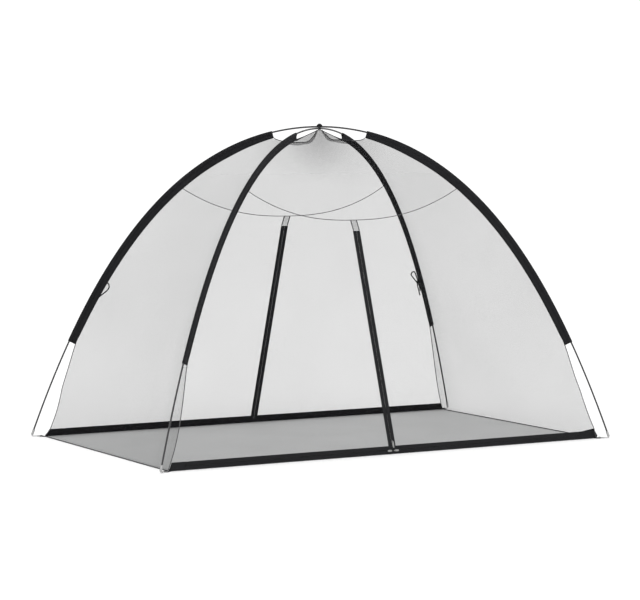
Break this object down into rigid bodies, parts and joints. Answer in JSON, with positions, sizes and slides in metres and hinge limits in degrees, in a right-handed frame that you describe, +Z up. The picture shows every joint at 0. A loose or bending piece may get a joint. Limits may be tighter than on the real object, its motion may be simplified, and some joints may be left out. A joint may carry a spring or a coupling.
{
  "type": "mosquito net tent",
  "caption": "Free-standing mosquito net tent: crossed arch poles in cloth sleeves hold a net canopy over a floor sheet, with a zipped door in each long side.",
  "frame": {"origin": "on the ground, at the middle of the floor", "axes": "+X along the long sides, +Y from the front door to the back door, +Z up"},
  "size_m": [2.0988, 1.2634, 1.3265],
  "materials": {
    "net": "fine white mosquito net, see-through",
    "floor_cloth": "thin grey polyester sheet",
    "black_cloth": "black woven polyester",
    "zip_tape": "black zip tape with a nylon coil",
    "binding": "thin grey bound edge",
    "patch": "translucent grey reinforcement",
    "fibreglass": "black fibreglass tube",
    "steel": "bright steel",
    "grey_metal": "grey cast zip metal",
    "elastic": "pale elastic cord",
    "webbing": "black webbing"
  },
  "bodies": {
    "root": {"floor": "floor_cloth", "side_binding_left": "binding", "side_binding_right": "binding", "roof_front": "net", "roof_back": "net", "end_wall_left": "net", "end_wall_right": "net", "front_door_side_left": "net", "front_door_side_right": "net", "back_door_side_left": "net", "back_door_side_right": "net", "seam_front": "binding", "seam_back": "binding", "front_zip_patch": "patch", "back_zip_patch": "patch", "front_hem_band": "black_cloth", "back_hem_band": "black_cloth", "lower_pole": "fibreglass", "upper_pole": "fibreglass", "lower_pole_shock_cord": "elastic", "upper_pole_shock_cord": "elastic", "crown_tie": "black_cloth", "tie_back_left": "black_cloth", "tie_back_right": "black_cloth", "sleeve_front_left": "black_cloth", "sleeve_front_right": "black_cloth", "sleeve_back_left": "black_cloth", "sleeve_back_right": "black_cloth", "pole_tip_front_left": "steel", "pole_tip_front_right": "steel", "pole_tip_back_left": "steel", "pole_tip_back_right": "steel", "corner_tab_front_left": "webbing", "corner_tab_front_right": "webbing", "corner_tab_back_left": "webbing", "corner_tab_back_right": "webbing", "corner_pin_front_left": "steel", "corner_pin_front_right": "steel", "corner_pin_back_left": "steel", "corner_pin_back_right": "steel"},
    "front_flap_left": {"front_flap_left_net": "net", "front_flap_left_zip_tape": "zip_tape"},
    "front_flap_right": {"front_flap_right_net": "net", "front_flap_right_zip_tape": "zip_tape"},
    "back_flap_left": {"back_flap_left_net": "net", "back_flap_left_zip_tape": "zip_tape"},
    "back_flap_right": {"back_flap_right_net": "net", "back_flap_right_zip_tape": "zip_tape"},
    "front_door_slider": {"front_door_slider": "grey_metal"},
    "front_door_slider_pull": {"front_door_slider_pull": "grey_metal"},
    "back_door_slider": {"back_door_slider": "grey_metal"},
    "back_door_slider_pull": {"back_door_slider_pull": "grey_metal"},
    "front_hem_slider_left": {"front_hem_slider_left": "grey_metal"},
    "front_hem_slider_left_pull": {"front_hem_slider_left_pull": "grey_metal"},
    "front_hem_slider_right": {"front_hem_slider_right": "grey_metal"},
    "front_hem_slider_right_pull": {"front_hem_slider_right_pull": "grey_metal"},
    "back_hem_slider_left": {"back_hem_slider_left": "grey_metal"},
    "back_hem_slider_left_pull": {"back_hem_slider_left_pull": "grey_metal"},
    "back_hem_slider_right": {"back_hem_slider_right": "grey_metal"},
    "back_hem_slider_right_pull": {"back_hem_slider_right_pull": "grey_metal"}
  },
  "joints": [
    {"name": "front_flap_left_fold", "type": "hinge", "parent": "root", "child": "front_flap_left", "pos_m": [-0.925, -0.59359, 0.01626], "axis": [-0.7045, -0.2241, -0.6734], "range_deg": [0, 120]},
    {"name": "front_flap_right_fold", "type": "hinge", "parent": "root", "child": "front_flap_right", "pos_m": [0.925, -0.59359, 0.01626], "axis": [-0.7045, 0.2241, 0.6734], "range_deg": [0, 120]},
    {"name": "back_flap_right_fold", "type": "hinge", "parent": "root", "child": "back_flap_right", "pos_m": [0.925, 0.59359, 0.01626], "axis": [0.7045, 0.2241, -0.6734], "range_deg": [0, 120]},
    {"name": "back_flap_left_fold", "type": "hinge", "parent": "root", "child": "back_flap_left", "pos_m": [-0.925, 0.59359, 0.01626], "axis": [0.7045, -0.2241, 0.6734], "range_deg": [0, 120]},
    {"name": "front_door_slider_travel", "type": "slide", "parent": "front_flap_right", "child": "front_door_slider", "axis": [0, 0.3157, 0.9488], "range_m": [0, 0.845]},
    {"name": "front_door_slider_pull_swing", "type": "hinge", "parent": "front_door_slider", "child": "front_door_slider_pull", "pos_m": [0.0043, -0.58725, 0.04734], "axis": [-1, 0, 0], "range_deg": [0, 170]},
    {"name": "back_door_slider_travel", "type": "slide", "parent": "back_flap_left", "child": "back_door_slider", "axis": [0, -0.3157, 0.9488], "range_m": [0, 0.845]},
    {"name": "back_door_slider_pull_swing", "type": "hinge", "parent": "back_door_slider", "child": "back_door_slider_pull", "pos_m": [-0.0043, 0.58725, 0.04734], "axis": [1, 0, 0], "range_deg": [0, 170]},
    {"name": "front_hem_slider_left_travel", "type": "slide", "parent": "root", "child": "front_hem_slider_left", "axis": [-1, 0, 0], "range_m": [0, 0.9]},
    {"name": "front_hem_slider_left_pull_swing", "type": "hinge", "parent": "front_hem_slider_left", "child": "front_hem_slider_left_pull", "pos_m": [-0.0098, -0.59836, 0.01395], "axis": [0, 0.3157, 0.9488], "range_deg": [0, 170]},
    {"name": "front_hem_slider_right_travel", "type": "slide", "parent": "root", "child": "front_hem_slider_right", "axis": [1, 0, 0], "range_m": [0, 0.9]},
    {"name": "front_hem_slider_right_pull_swing", "type": "hinge", "parent": "front_hem_slider_right", "child": "front_hem_slider_right_pull", "pos_m": [0.0098, -0.59836, 0.01395], "axis": [0, -0.3157, -0.9488], "range_deg": [0, 170]},
    {"name": "back_hem_slider_right_travel", "type": "slide", "parent": "root", "child": "back_hem_slider_right", "axis": [1, 0, 0], "range_m": [0, 0.9]},
    {"name": "back_hem_slider_right_pull_swing", "type": "hinge", "parent": "back_hem_slider_right", "child": "back_hem_slider_right_pull", "pos_m": [0.0098, 0.59836, 0.01395], "axis": [0, -0.3157, 0.9488], "range_deg": [0, 170]},
    {"name": "back_hem_slider_left_travel", "type": "slide", "parent": "root", "child": "back_hem_slider_left", "axis": [-1, 0, 0], "range_m": [0, 0.9]},
    {"name": "back_hem_slider_left_pull_swing", "type": "hinge", "parent": "back_hem_slider_left", "child": "back_hem_slider_left_pull", "pos_m": [-0.0098, 0.59836, 0.01395], "axis": [0, 0.3157, -0.9488], "range_deg": [0, 170]}
  ]
}
